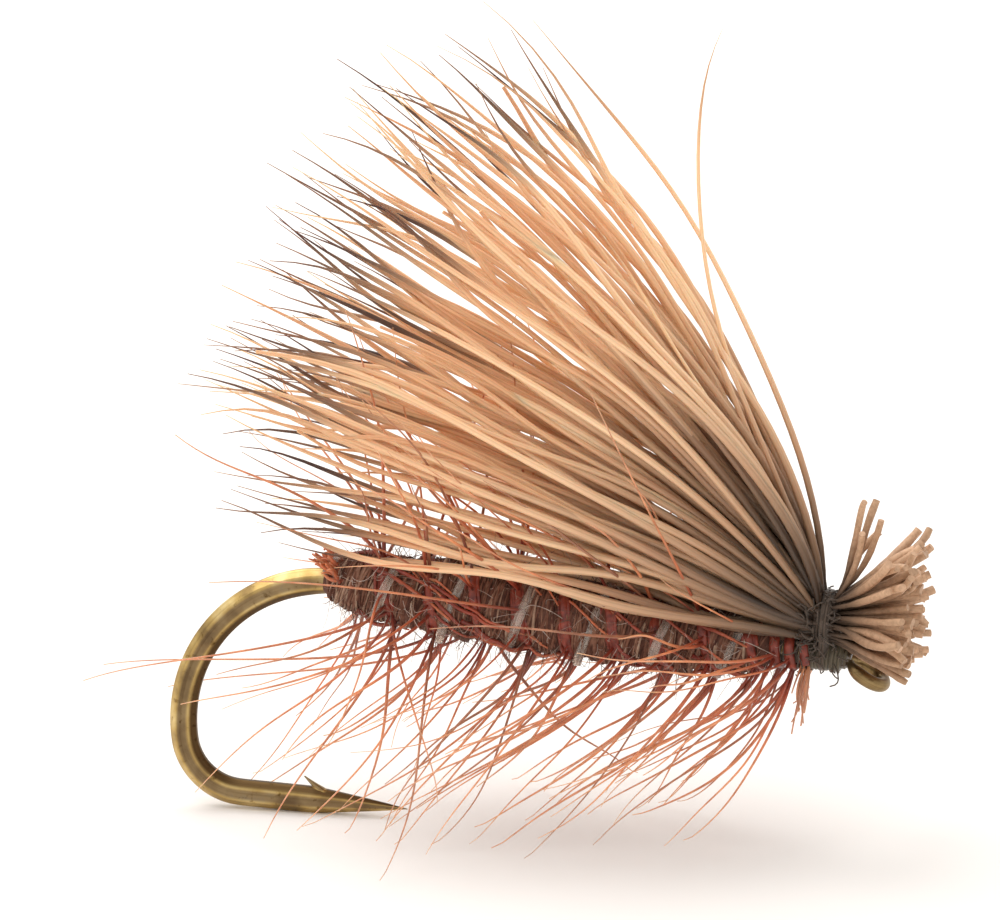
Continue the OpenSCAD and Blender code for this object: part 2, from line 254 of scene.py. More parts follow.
def closed_mesh(name, vertices, quads, caps, uvs, paint, crease):
    """A smooth mesh in metres. caps are its end faces; edges sharper than crease degrees stay sharp."""
    mesh = bpy.data.meshes.new(name)
    mesh.from_pydata((vertices * MM).tolist(), [], quads.tolist() + caps)
    cap_corners = sum(len(cap) for cap in caps)
    uvs = np.concatenate([uvs.reshape(-1, 2), np.full((cap_corners, 2), 0.5)])
    mesh.uv_layers.new(name="strand").data.foreach_set("uv", uvs.ravel())
    for label, value in paint.items():
        layer = mesh.attributes.new(label, "FLOAT", "POINT")
        layer.data.foreach_set("value", np.ravel(value))
    mesh.shade_smooth()
    mesh.set_sharp_from_angle(angle=math.radians(crease))
    return mesh


def skin_mesh(name, rings, v, crease=80, **paint):
    """A closed skin through rings of points of the shank's frame, as rings x sides x 3."""
    count, sides = rings.shape[:2]
    index = np.arange(count * sides).reshape(count, sides)
    caps = [index[0, ::-1].tolist(), index[-1].tolist()]
    points = on_fly(rings.reshape(-1, 3))
    return closed_mesh(name, points, grid_quads(index), caps, grid_uvs(v, sides), paint, crease)


class Tubes:
    """Gathers closed tubes in one mesh, with numbers painted on their points for the materials."""

    def __init__(self, sides):
        self.sides = sides
        self.vertices = []
        self.quads = []
        self.caps = []
        self.paint = {}
        self.uvs = []
        self.used = 0

    def add(self, points, radii, normal, width=1.0, squareness=2.0, **paint):
        """points is strands x rings x 3 and radii strands x rings. normal is a direction across each
        strand; the section is width times as wide across it as along it."""
        strands, rings = points.shape[:2]
        sides = self.sides
        along = unit(np.gradient(points, axis=1))
        normal = np.broadcast_to(normal, points.shape)
        up = unit(normal - along * np.sum(normal * along, axis=-1, keepdims=True))
        across = np.cross(along, up)
        angle = TURN * np.arange(sides) / sides
        cos, sin = np.cos(angle), np.sin(angle)
        reach = (np.abs(cos) ** squareness + np.abs(sin) ** squareness) ** (-1 / squareness)
        radii = np.broadcast_to(radii, (strands, rings))[:, :, None, None]
        ring = up[:, :, None, :] * (reach * cos)[:, None]
        ring = ring + across[:, :, None, :] * (width * reach * sin)[:, None]
        self.vertices.append((points[:, :, None, :] + radii * ring).reshape(-1, 3))

        index = self.used + np.arange(strands * rings * sides).reshape(strands, rings, sides)
        self.quads.append(grid_quads(index))
        self.caps.append(np.concatenate([index[:, 0, ::-1], index[:, -1]]))
        self.used += index.size
        patch = grid_uvs(np.linspace(0, 1, rings), sides)
        self.uvs.append(np.broadcast_to(patch, (strands,) + patch.shape).reshape(-1, 2))
        for name, value in paint.items():
            value = np.asarray(value, float)
            if value.ndim == 1:
                value = value[:, None]
            value = np.broadcast_to(value, (strands, rings))
            self.paint.setdefault(name, []).append(np.repeat(value.reshape(-1), sides))

    def mesh(self, name, crease=80):
        paint = {label: np.concatenate(parts) for label, parts in self.paint.items()}
        return closed_mesh(
            name, np.concatenate(self.vertices), np.concatenate(self.quads),
            np.concatenate(self.caps).tolist(), np.concatenate(self.uvs), paint, crease,
        )

    def wind(self, x, radius, angle, thickness, **section):
        """Adds one strand wound around the shank."""
        points = on_fly(around(x, radius, angle))
        self.add(points[None], thickness, radial(angle)[None], **section)

    def piece(self, name, material, slot, *nodes, crease=80):
        add_piece(name, self.mesh(name, crease), material, slot, *nodes)


def place_in_scene(name, data):
    thing = bpy.data.objects.new(name, data)
    bpy.context.scene.collection.objects.link(thing)
    return thing


def add_piece(name, mesh, material, slot, *nodes):
    """A piece of the fly, with its material; it takes the place of the frame's nodes. The slot is not used.
    """
    piece = place_in_scene(name, mesh)
    mesh.materials.append(material)
    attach(piece, "root")
    if nodes:
        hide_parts(*nodes)


def add_strands(name, material, slot, *nodes, points, radii, normal, sides=6, crease=80, **looks):
    """A piece made of one set of strands."""
    strands = Tubes(sides)
    strands.add(points, radii, normal, **looks)
    strands.piece(name, material, slot, *nodes, crease=crease)


# ---- Material helpers ----

def colour(red, green, blue):
    """A screen colour of 0 to 255 a channel, as the linear colour that Blender takes."""
    linear = []
    for value in (red, green, blue):
        value /= 255
        linear.append(value / 12.92 if value <= 0.04045 else ((value + 0.055) / 1.055) ** 2.4)
    return (*linear, 1.0)


def new_material(name, roughness, specular=0.5, metallic=0.0):
    material = bpy.data.materials.new(name)
    material.use_nodes = True
    tree = material.node_tree
    shader = tree.nodes["Principled BSDF"]
    shader.inputs["Roughness"].default_value = roughness
    shader.inputs["Specular IOR Level"].default_value = specular
    shader.inputs["Metallic"].default_value = metallic
    return material, tree, shader


def shine_through(shader, weight, depth):
    """Lets light scatter inside to a depth in millimetres, as it does in hair and feather."""
    shader.inputs["Subsurface Weight"].default_value = weight
    shader.inputs["Subsurface Radius"].default_value = (1.0, 0.6, 0.4)
    shader.inputs["Subsurface Scale"].default_value = depth * MM


def painted(tree, name):
    node = tree.nodes.new("ShaderNodeAttribute")
    node.attribute_name = name
    return node.outputs["Fac"]


def ramp(tree, value, *stops):
    """A colour ramp through stops of (position, colour)."""
    node = tree.nodes.new("ShaderNodeValToRGB")
    elements = node.color_ramp.elements
    while len(elements) < len(stops):
        elements.new(0.5)
    for element, (position, shade) in zip(elements, stops):
        element.position = position
        element.color = shade
    tree.links.new(value, node.inputs["Fac"])
    return node.outputs["Color"]


def feed(tree, socket, value):
    """Gives a socket another socket's value, or a plain one."""
    if isinstance(value, bpy.types.NodeSocket):
        tree.links.new(value, socket)
    else:
        socket.default_value = value


def blended(tree, factor, first, second, mode="MIX"):
    """Two colours mixed by a factor."""
    node = tree.nodes.new("ShaderNodeMix")
    node.data_type = "RGBA"
    node.blend_type = mode
    for key, value in (("Factor_Float", factor), ("A_Color", first), ("B_Color", second)):
        feed(tree, next(s for s in node.inputs if s.identifier == key), value)
    return next(s for s in node.outputs if s.identifier == "Result_Color")


def product(tree, first, second):
    node = tree.nodes.new("ShaderNodeMath")
    node.operation = "MULTIPLY"
    feed(tree, node.inputs[0], first)
    feed(tree, node.inputs[1], second)
    return node.outputs["Value"]


def shades(tree, value, *stops):
    """A ramp through screen colours, in stops of (position, red, green, blue)."""
    return ramp(tree, value, *((position, colour(*shade)) for position, *shade in stops))


def darkened(tree, base, grain, low, high, darkest):
    """The base colour times a tint: the darkest where the grain is under low, and none over high."""
    tint = ramp(tree, grain, (low, (*darkest, 1)), (high, (1, 1, 1, 1)))
    return blended(tree, 1.0, base, tint, "MULTIPLY")


def noise(tree, size, stretch=(1, 1, 1), detail=3.0, source="Object"):
    """Noise whose grain is about size millimetres, drawn out along an axis by a small stretch."""
    where = tree.nodes.new("ShaderNodeTexCoord")
    mapping = tree.nodes.new("ShaderNodeMapping")
    mapping.inputs["Scale"].default_value = stretch
    grain = tree.nodes.new("ShaderNodeTexNoise")
    grain.inputs["Scale"].default_value = 1 / size if source == "UV" else 1 / (size * MM)
    grain.inputs["Detail"].default_value = detail
    tree.links.new(where.outputs[source], mapping.inputs["Vector"])
    tree.links.new(mapping.outputs["Vector"], grain.inputs["Vector"])
    return grain.outputs["Fac"]


def add_bump(tree, shader, height, depth, strength=0.6):
    """Relief of depth millimetres from a height between 0 and 1."""
    node = tree.nodes.new("ShaderNodeBump")
    node.inputs["Distance"].default_value = depth * MM
    node.inputs["Strength"].default_value = strength
    tree.links.new(height, node.inputs["Height"])
    tree.links.new(node.outputs["Normal"], shader.inputs["Normal"])


def set_roughness(tree, shader, value, low, high):
    node = tree.nodes.new("ShaderNodeMapRange")
    node.inputs["To Min"].default_value = low
    node.inputs["To Max"].default_value = high
    tree.links.new(value, node.inputs["Value"])
    tree.links.new(node.outputs["Result"], shader.inputs["Roughness"])


def set_colour(tree, shader, value):
    tree.links.new(value, shader.inputs["Base Color"])


# ---- Materials ----

def bronze():
    """Bronzed steel: gold edges; olive and brown side flats, painted darker as a painted reflection of dim
    surroundings; a painted shade along the inner edge; drawn streaks and a few dark spots.
    """
    material, tree, shader = new_material("bronzed_steel", 0.3, metallic=1.0)
    tarnish = noise(tree, 0.7, detail=6)
    streaks = noise(tree, 0.4, stretch=(11, 2.5, 1), detail=5, source="UV")
    spots = noise(tree, 0.16, detail=5)
    edge = shades(tree, tarnish, (0.3, 140, 115, 74), (0.5, 190, 160, 99), (0.7, 218, 194, 138))
    flat = shades(
        tree, tarnish,
        (0.3, 98, 80, 58), (0.45, 120, 100, 72), (0.6, 140, 120, 88), (0.75, 122, 114, 98),
    )
    # Painted light: the side flats take the darker colour, a painted reflection of dim surroundings, and the
    # inner edge a dark brown as painted shade.
    faces = blended(tree, painted(tree, "flat"), edge, flat)
    skin = blended(tree, painted(tree, "inner"), faces, colour(92, 72, 46))
    worn = darkened(tree, skin, streaks, 0.34, 0.52, (0.78, 0.75, 0.72))
    set_colour(tree, shader, darkened(tree, worn, spots, 0.27, 0.38, (0.5, 0.44, 0.36)))
    set_roughness(tree, shader, tarnish, 0.26, 0.5)
    add_bump(tree, shader, streaks, 0.006, 0.3)
    return material


def two_toned(tree, first, second):
    """The shades along a strand: the first set at a tone of 0, the second at a tone of 1."""
    along = painted(tree, "along")
    return blended(tree, painted(tree, "tone"), shades(tree, along, *first), shades(tree, along, *second))


def wing_hair():
    """Hollow hair: taupe at the root, tan along its length, and near black at many of the tips."""
    material, tree, shader = new_material("wing_hair", 0.42, specular=0.4)
    shine_through(shader, 0.5, 0.14)
    warm = (
        (0, 62, 47, 36), (0.08, 116, 92, 72), (0.24, 200, 160, 126), (0.5, 252, 216, 176),
        (1, 248, 202, 158),
    )
    grey = (
        (0, 54, 41, 32), (0.12, 96, 76, 60), (0.36, 180, 140, 110), (0.62, 238, 192, 150),
        (1, 226, 170, 126),
    )
    near_tip = ramp(
        tree, painted(tree, "along"),
        (0.76, (0, 0, 0, 1)), (0.86, (0.75, 0.75, 0.75, 1)), (0.93, (1, 1, 1, 1)),
    )
    black_tip = product(tree, near_tip, painted(tree, "dark"))
    tipped = blended(tree, black_tip, two_toned(tree, warm, grey), colour(58, 34, 30))
    streaks = noise(tree, 0.35, stretch=(6, 0.08, 1), detail=2, source="UV")
    set_colour(tree, shader, darkened(tree, tipped, streaks, 0.3, 0.65, (0.8, 0.77, 0.74)))
    set_roughness(tree, shader, streaks, 0.34, 0.55)
    add_bump(tree, shader, noise(tree, 0.09, detail=3), 0.012, 0.5)
    return material


def butt_hair():
    """The same hair's front ends: darker by the thread as painted shade, pinkish tan ahead of it and browner
    in the cut.
    """
    material, tree, shader = new_material("butt_hair", 0.55, specular=0.35)
    # Painted shade: the stops near 0, by the thread, are darker than the hair.
    light = (
        (0, 68, 54, 44), (0.25, 122, 96, 76), (0.55, 198, 158, 126), (0.96, 222, 182, 148), (1, 142, 98, 74),
    )
    dull = (
        (0, 58, 46, 38), (0.3, 104, 82, 64), (0.65, 162, 126, 98), (0.96, 184, 148, 116), (1, 114, 80, 60),
    )
    grain = noise(tree, 0.1, detail=3)
    set_colour(
        tree, shader, darkened(tree, two_toned(tree, light, dull), grain, 0.3, 0.6, (0.74, 0.72, 0.7)),
    )
    add_bump(tree, shader, grain, 0.015, 0.6)
    return material


def hackle():
    """Feather barbs: dark red-brown at the stem and ginger towards the tip, a few of them dull brown."""
    material, tree, shader = new_material("hackle_barb", 0.38, specular=0.5)
    shine_through(shader, 0.6, 0.1)
    ginger = (
        (0, 124, 44, 32), (0.08, 158, 68, 46), (0.24, 202, 116, 78), (0.5, 228, 154, 108),
        (1, 224, 170, 138),
    )
    brown = ((0, 92, 44, 34), (0.2, 156, 100, 72), (1, 182, 142, 116))
    bars = noise(tree, 0.45, detail=2)
    set_colour(
        tree, shader, darkened(tree, two_toned(tree, ginger, brown), bars, 0.35, 0.6, (0.7, 0.66, 0.64)),
    )
    add_bump(tree, shader, noise(tree, 0.05, detail=2), 0.006, 0.4)
    return material


def stem():
    """The feather's stem, dark red-brown and a little glossy."""
    material, tree, shader = new_material("hackle_stem", 0.34)
    grain = noise(tree, 0.16, detail=4)
    set_colour(tree, shader, shades(tree, grain, (0.3, 86, 30, 22), (0.7, 152, 62, 42)))
    add_bump(tree, shader, grain, 0.02)
    return material


def fur(name, *stops):
    """Dubbed fur in the given shades, from the lowest tone of a strand to the highest."""
    material, tree, shader = new_material(name, 0.66, specular=0.2)
    strand = shades(tree, painted(tree, "tone"), *stops)
    grain = noise(tree, 0.14, detail=4)
    set_colour(tree, shader, darkened(tree, strand, grain, 0.3, 0.65, (0.6, 0.56, 0.54)))
    add_bump(tree, shader, grain, 0.02)
    return material


def dubbing_fibre():
    return fur(
        "dubbing_fibre",
        (0, 82, 48, 38), (0.35, 126, 84, 66), (0.62, 150, 112, 92), (0.84, 182, 154, 132),
        (1, 226, 208, 192),
    )


def dubbing_core():
    return fur("dubbing_core", (0, 84, 52, 42), (1, 112, 76, 62))


def dubbing_fuzz():
    return fur("dubbing_fuzz", (0, 104, 76, 64), (0.5, 150, 122, 106), (1, 214, 198, 188))


def clear_strip():
    """A stretched clear strip, milky where it has crazed."""
    material, tree, shader = new_material("clear_rib", 0.16)
    shader.inputs["Transmission Weight"].default_value = 0.8
    shader.inputs["IOR"].default_value = 1.45
    lines = noise(tree, 0.3, stretch=(3, 8, 1), detail=3, source="UV")
    set_colour(tree, shader, shades(tree, lines, (0.35, 206, 182, 164), (0.6, 255, 244, 232)))
    set_roughness(tree, shader, lines, 0.12, 0.3)
    add_bump(tree, shader, lines, 0.02, 0.4)
    return material


def thread(name, dark, light):
    """Waxed thread between two screen colours, with its fine filaments along each wrap."""
    material, tree, shader = new_material(name, 0.45)
    shader.inputs["Sheen Weight"].default_value = 0.2
    filaments = noise(tree, 0.25, stretch=(4, 0.2, 1), detail=3, source="UV")
    set_colour(tree, shader, shades(tree, filaments, (0.3, *dark), (0.7, *light)))
    add_bump(tree, shader, filaments, 0.02)
    return material


def varnish():
    """Clear brown varnish that has soaked the knot."""
    material, tree, shader = new_material("head_varnish", 0.08)
    shader.inputs["Transmission Weight"].default_value = 0.5
    shader.inputs["Coat Weight"].default_value = 1.0
    shader.inputs["Coat Roughness"].default_value = 0.05
    cloud = noise(tree, 0.25, detail=3)
    set_colour(tree, shader, shades(tree, cloud, (0.35, 70, 56, 42), (0.7, 124, 104, 78)))
    add_bump(tree, shader, cloud, 0.03, 0.4)
    return material


# ---- Hook ----

def arc(centre, radius, start, turn, count):
    """Points of the wire's arc in the shank's XZ plane; angles grow from the shank towards the point."""
    angle = start + np.linspace(0, turn, count)
    return stacked(centre[0] - radius * np.sin(angle), 0, centre[1] + radius * np.cos(angle))


def eye_wire():
    """The wire's front end: a ring, open by a hair's breadth where it meets the neck."""
    ahead = np.array([math.cos(EYE_DROP), 0, -math.sin(EYE_DROP)])
    angle = np.radians(np.linspace(-166, 150, 64))
    ring = np.cos(angle)[:, None] * ahead + np.sin(angle)[:, None] * np.array([0.0, 1.0, 0.0])
    ring = EYE_ON_SHANK + EYE_PITCH_R * ring
    neck_start = ring[-1:]
    neck_end = np.array([[SHANK_LEN - NECK_LEN, 0, 0]])
    leaving = neck_start - ahead * 0.16 - [[0, 0.1, 0]]
    neck = bezier(neck_start, leaving, neck_end + [[0.25, 0, 0]], neck_end, 12)[0]
    return np.concatenate([ring, neck[1:-1]])


def hook_line():
    """The wire's centre line from the eye to the point, where its parts start, and the limb's way."""
    heel_drop = BEND_R - HEEL_R
    heel = (-heel_drop * math.sin(BEND_TURN), -BEND_R + heel_drop * math.cos(BEND_TURN))
    limb_turn = BEND_TURN + HEEL_TURN
    eye = eye_wire()
    shank = stacked(np.linspace(SHANK_LEN - NECK_LEN, 0, 60), 0, 0)
    bend = arc((0, -BEND_R), BEND_R, 0, BEND_TURN, 80)
    curl = arc(heel, HEEL_R, BEND_TURN, HEEL_TURN, 40)
    limb_way = np.array([-math.cos(limb_turn), 0, -math.sin(limb_turn)])
    limb = curl[-1] + np.linspace(0, LIMB_LEN, 20)[:, None] * limb_way
    tip = limb[-1] + np.linspace(0, POINT_LEN, 30)[:, None] * limb_way
    line = np.concatenate([eye, shank, bend[1:], curl[1:], limb[1:], tip[1:]])
    starts = np.cumsum([0, len(eye), len(shank), len(bend) - 1, len(curl) - 1, len(limb) - 1])
    return line, starts, limb_way


def softened(line, first, last, passes=10):
    """Eases the joins between straight and curved wire, between two points of the line."""
    eased = line.copy()
    for _ in range(passes):
        middle = eased[first:last]
        middle[1:-1] = (middle[:-2] + 2 * middle[1:-1] + middle[2:]) / 4
    return eased


def forged_reach(angle, height, width, bevel):
    """Distance from the wire's centre to its skin: flats, bevelled corners and slightly round edges."""
    total = 0
    facets = [(0, height), (180, height), (90, width), (270, width)]
    facets += [(45, bevel), (315, bevel), (135, bevel * 1.06), (225, bevel * 1.06)]
    crispness = 44
    for facing, distance in facets:
        facing_part = np.maximum(np.cos(angle - math.radians(facing)), 0)
        total = total + (facing_part / distance) ** crispness
    return total ** (-1 / crispness)


def hook_mesh():
    """The wire's skin, with the limb's centre line and direction."""
    line, starts, limb_way = hook_line()
    _, shank, bend, _, limb, tip = starts
    line = softened(line, shank + 30, tip)
    step = np.linalg.norm(np.diff(line, axis=0), axis=1)
    travelled = np.concatenate([[0], np.cumsum(step)])
    way = unit(np.gradient(line, axis=0))
    up = unit(np.cross([0.0, 1.0, 0.0], way))
    up[:shank] = np.array([math.sin(EYE_DROP), 0, math.cos(EYE_DROP)])
    neck = slice(shank - 12, shank + 10)
    up[neck] = unit(up[neck] + np.linspace(0, 1, 22)[:, None] * ([0, 0, 1] - up[neck]))
    across = unit(np.cross(way, up))
    up = np.cross(across, way)

    forged = smooth(travelled[bend] - 1.0, travelled[bend] + 1.2, travelled)[:, None]
    to_point = (travelled[-1] - travelled) / (travelled[-1] - travelled[tip])
    taper = np.clip(to_point, 0.02, 1) ** 0.85
    thickening = smooth(travelled[shank - 14], travelled[shank + 4], travelled)
    round_r = EYE_WIRE_R + (WIRE_R - EYE_WIRE_R) * thickening
    round_r = round_r * (0.55 + 0.45 * smooth(0, 0.5, travelled))

    sides = 64
    angle = TURN * np.arange(sides) / sides
    forged_r = forged_reach(angle, FORGED_H / 2, FORGED_W / 2, FORGED_BEVEL)
    reach = ((1 - forged) * round_r[:, None] + forged * forged_r) * taper[:, None]
    ring = up[:, None, :] * np.cos(angle)[None, :, None] + across[:, None, :] * np.sin(angle)[None, :, None]
    rings = line[:, None, :] + reach[:, :, None] * ring
    # Painted light: flat marks the side flats, which the material paints darker as a painted reflection of
    # dim surroundings. The eye and neck also take most of the darker flat colour.
    flat = forged * smooth(0.8, 0.95, np.abs(np.sin(angle)))
    flat = flat + 0.8 * (travelled < travelled[shank])[:, None]
    # inner marks the inner edge, which the material paints dark brown as painted shade.
    inner = forged * smooth(0.5, 0.8, -np.cos(angle))
    mesh = skin_mesh("hook_wire", rings, travelled / travelled[-1], HOOK_CREASE, inner=inner, flat=flat)
    return mesh, line[limb:], limb_way


def barb_blade(limb_line, limb_way):
    """The barb, sliced up from the wire's inner edge so that it points back at the bend."""
    inner = np.cross(limb_way, [0.0, 1.0, 0.0])
    inner = inner * np.sign(inner[2])
    foot = limb_line[0] + limb_way * (LIMB_LEN + 0.55) + inner * 0.05
    lift = np.linspace(0, 1, 14)[:, None]
    line = foot - limb_way * BARB_LEN * 1.4 * lift + inner * (0.52 * lift ** 1.3)
    thickness = np.interp(lift[:, 0], [0, 0.5, 1], [0.12, 0.085, 0.014])
    blade = Tubes(12)
    # The barb takes the inner edge's dark brown all over, as painted shade.
    blade.add(on_fly(line)[None], thickness, turned(inner), width=1.3, squareness=2.6, inner=1.2, flat=1.0)
    return blade.mesh("barb_blade")


def joined(name, first, second):
    """Two closed meshes as one solid mesh."""
    tool = bpy.data.objects.new("joined_tool", second)
    base = bpy.data.objects.new(name, first)
    scene = bpy.context.scene.collection
    for thing in (tool, base):
        scene.objects.link(thing)
    union = base.modifiers.new("union", "BOOLEAN")
    union.operation = "UNION"
    union.solver = "EXACT"
    union.object = tool
    result = bpy.data.meshes.new_from_object(base.evaluated_get(bpy.context.evaluated_depsgraph_get()))
    for thing in (tool, base):
        bpy.data.objects.remove(thing)
    return result


def build_hook():
    wire, limb_line, limb_way = hook_mesh()
    mesh = joined("hook_union", wire, barb_blade(limb_line, limb_way))
    mesh.shade_smooth()
    mesh.set_sharp_from_angle(angle=math.radians(HOOK_CREASE))
    add_piece("fly_hook", mesh, bronze(), "bronzed_hook", "hook", "hook_eye")


# ---- Body ----

def body_r(x):
    """Radius of the dubbed body, without its ridges."""
    u = np.clip((x - BODY_START) / BODY_LEN, 0, 1)
    return BODY_END_R + (BODY_MID_R - BODY_END_R) * np.sin(math.pi * u) ** 0.6


def stem_angle(x):
    """Angle of the stem's winding at x: from under the shank, down the -Y side of each turn."""
    along = np.minimum(x, COLLAR_START - HACKLE_START) - HACKLE_START
    collar = np.maximum(x - COLLAR_START + HACKLE_START, 0)
    return math.pi - TURN * (along / HACKLE_PITCH + collar / COLLAR_PITCH)


def stem_gap(x, angle):
    """Distance along the shank from a point of the body to the nearest turn of the stem."""
    return np.abs((angle - stem_angle(x) + math.pi) % TURN - math.pi) / TURN * HACKLE_PITCH


def dubbing_r(x, angle):
    """Radius of the body at the ridges of its dubbed thread."""
    turn = (x - BODY_START) / BODY_LEN * DUBBING_TURNS - angle / TURN
    ridge = np.abs(np.sin(math.pi * turn)) ** 0.6
    lumps = 0.03 * np.sin(3.1 * x + 2 * angle) + 0.02 * np.sin(7.3 * x - 3 * angle + 1)
    rear = smooth(BODY_START - 0.2, BODY_START + 0.8, x)
    ends = rear * (1 - smooth(BODY_SHOULDER, BODY_END, x))
    bitten = 0.1 * np.exp(-(stem_gap(x, angle) / 0.2) ** 2)
    return body_r(x) * (0.66 + 0.2 * rear + 0.14 * ends) - 0.07 + (0.1 * ridge + lumps - bitten) * ends


def lathe(name, xs, radius, sides):
    """A closed skin around the shank, of radius(x, angle) at each x."""
    x = xs[:, None]
    angle = -TURN * np.arange(sides)[None, :] / sides
    rings = around(x, radius(x, angle), angle)
    return skin_mesh(name, rings, np.linspace(0, 1, len(xs)), tone=np.full(rings.shape[:2], 0.5))


def build_thread_base():
    """The tying thread, wound in close turns from the bend to the head."""
    turns = 118
    angle = np.linspace(0, TURN * turns, turns * 16)
    x = np.linspace(0.02, THREAD_END - 0.05, angle.size)
    base = Tubes(6)
    base.wind(x, WIRE_R + THREAD_R * 0.8, angle, THREAD_R)
    material = thread("thread_base", (58, 46, 38), (104, 88, 74))
    base.piece("thread_windings", material, "tying_thread", "thread_base")


def build_body_core():
    """The dubbed body's ridged core."""
    xs = np.linspace(BODY_START, BODY_END, 330)
    core = lathe("body_core", xs, dubbing_r, 64)
    add_piece("body_core", core, dubbing_core(), "fur_dubbing", "dubbed_body")


def build_body_strands():
    """The fur's strands, wound on the core more or less along its ridges."""
    rng = np.random.default_rng(11)
    count = 1700
    start = rng.uniform(BODY_START + 0.1, BODY_END - 0.25, (count, 1))
    first = rng.uniform(0, TURN, (count, 1))
    span = rng.uniform(0.8, 2.6, (count, 1))
    t = steps(12)
    pitch = BODY_LEN / DUBBING_TURNS / TURN
    slant = pitch + rng.normal(0, 0.11, (count, 1))
    angle = first + span * t
    x = np.clip(start + slant * span * t, BODY_START + 0.02, BODY_END - 0.03)
    lift = rng.uniform(-0.015, 0.05, (count, 1)) * np.sin(math.pi * t)
    add_strands(
        "body_strands", dubbing_fibre(), "fur_dubbing", sides=5,
        points=on_fly(around(x, dubbing_r(x, angle) + lift, angle)),
        radii=rng.uniform(0.018, 0.042, (count, 1)) * (1 - 0.5 * np.abs(2 * t - 1) ** 3),
        normal=radial(angle), tone=rng.beta(1.4, 2.4, count),
    )


def build_fuzz():
    """Short fibres that stand out of the fur."""
    rng = np.random.default_rng(12)
    count = 1500
    rings = 9
    x = rng.uniform(BODY_START + 0.2, BODY_END + 0.3, count)
    angle = rng.uniform(0, TURN, count)
    foot = around(x, dubbing_r(x, angle) - 0.03, angle)
    out = stacked(rng.normal(0, 0.5, count), np.sin(angle), np.cos(angle))
    side = stacked(rng.normal(0, 0.3, count), np.cos(angle), -np.sin(angle))
    side = side * rng.choice([-1, 1], count)[:, None]
    length = (0.15 + 0.6 * rng.beta(1.3, 3.0, count))[:, None]
    p1 = foot + length * 0.5 * (0.6 * out + 0.6 * side)
    p2 = p1 + length * (0.5 * out + rng.normal(0, 0.35, (count, 3)))
    p3 = p2 + length * (0.3 * out + rng.normal(0, 0.45, (count, 3)))
    add_strands(
        "body_fuzz", dubbing_fuzz(), "fur_dubbing", sides=4,
        points=on_fly(bezier(foot, p1, p2, p3, rings)),
        radii=rng.uniform(0.007, 0.013, (count, 1)) * np.linspace(1, 0.4, rings),
        normal=[0.3, 0.5, 0.8], tone=rng.random(count),
    )


def stem_path(x):
    """Angle and radius of the stem's centre at x."""
    angle = stem_angle(x)
    on_fur = dubbing_r(np.minimum(x, STEM_LEAVES_FUR), angle)
    bed = np.where(x > STEM_LEAVES_FUR, SLEEVE_R + 0.05, on_fur)
    return angle, bed + STEM_R * 0.7


def build_stem():
    """The quill, with the barb bases that lie along both sides of it."""
    x = np.linspace(HACKLE_START, COLLAR_START + COLLAR_PITCH * COLLAR_TURNS, 620)
    angle, radius = stem_path(x)
    thickness = np.interp(x, [0, 3, 11], [0.055, 0.07, 0.08])
    quill = Tubes(10)
    quill.wind(x, radius, angle, thickness, width=1.6)
    rng = np.random.default_rng(30)
    on_body = x < COLLAR_START - 2 * HACKLE_START
    x, angle, radius, thickness = x[on_body], angle[on_body], radius[on_body], thickness[on_body]
    for side in (-0.16, -0.1, 0.1, 0.15):
        waver = 0.035 * np.sin(x * rng.uniform(7, 11) + rng.uniform(0, TURN))
        lift = 0.03 * np.sin(x * rng.uniform(9, 13) + rng.uniform(0, TURN)) - 0.01
        quill.wind(x + side + waver, radius + lift, angle, 0.65 * thickness)
    quill.piece("hackle_quill", stem(), "hackle_stem", "hackle_stem")


def build_rib():
    """The clear strip, wound against the stem and lifted where it crosses it."""
    pitch = (BODY_LEN - 0.8) / RIB_TURNS
    angle = np.linspace(-0.15 * TURN, TURN * RIB_TURNS, 900)
    x = BODY_START + 0.3 + pitch * angle / TURN
    over_stem = np.exp(-(stem_gap(x, angle) / 0.17) ** 2)
    radius = dubbing_r(x, angle) + 0.03 + (0.1 + 2 * STEM_R) * over_stem
    kernel = np.hanning(13)
    radius = np.convolve(np.pad(radius, 6, "edge"), kernel / kernel.sum(), "valid")
    strip = Tubes(12)
    strip.wind(x, radius, angle, RIB_T / 2, width=RIB_W / RIB_T, squareness=4)
    strip.piece("clear_strip", clear_strip(), "clear_rib", "rib_strip")


# ---- Hackle ----

def splayed(foot, chord, length):
    """Turns aside the barbs that would reach through the floor, so that their tips stand on it."""
    fall = (FLOOR_GAP - foot[:, 2:]) / length
    level = chord * np.array([1.0, 1.0, 0])
    level = unit(level + np.array([-0.02, 0, 0])) * np.sqrt(np.maximum(1 - fall ** 2, 0))
    standing = level + fall * np.array([0, 0, 1.0])
    return np.where(chord[:, 2:] * length + foot[:, 2:] < FLOOR_GAP, standing, chord)


